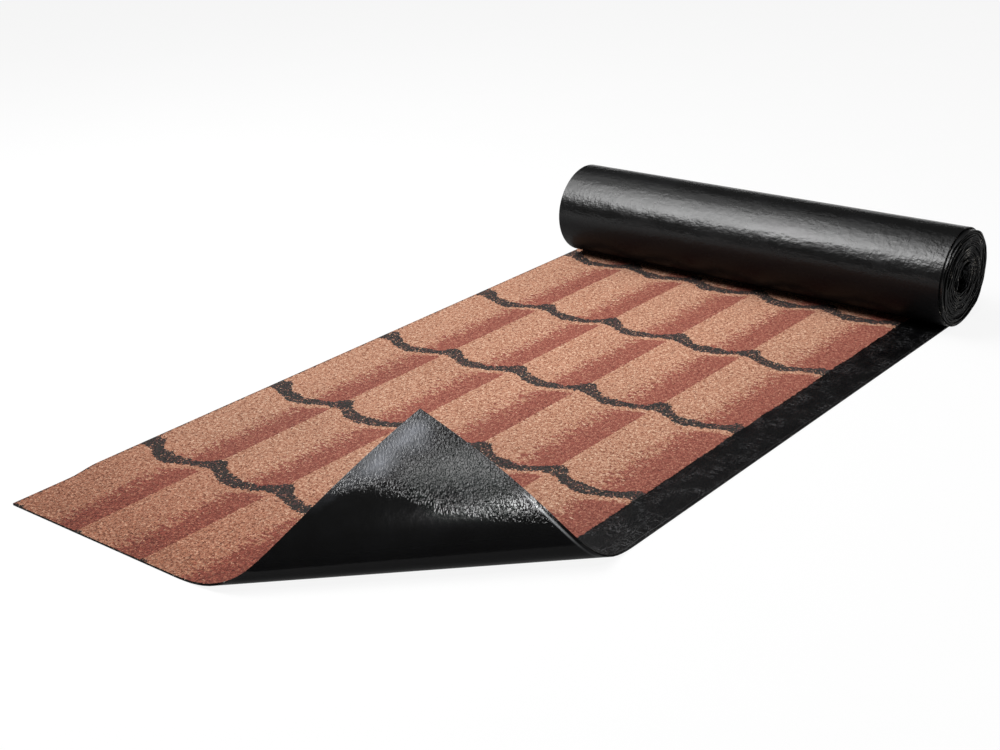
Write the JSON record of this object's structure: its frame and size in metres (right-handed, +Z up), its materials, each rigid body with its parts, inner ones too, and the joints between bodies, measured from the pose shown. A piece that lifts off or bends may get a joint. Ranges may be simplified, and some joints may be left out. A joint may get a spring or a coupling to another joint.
{
  "type": "roll of roofing felt",
  "caption": "Roll of mineral surfaced roofing felt, partly unrolled, with a scalloped tile pattern, a bare selvedge and a curled-back corner.",
  "frame": {"origin": "middle of the underside of the bounding box", "axes": "+X across the felt towards the bare selvedge, +Y along it from the free end to the roll, +Z up"},
  "size_m": [1.02, 1.8166, 0.2143],
  "materials": {
    "felt": "mineral granules above, satin black film below"
  },
  "bodies": {
    "root": {"roofing_felt": "felt"}
  },
  "joints": []
}
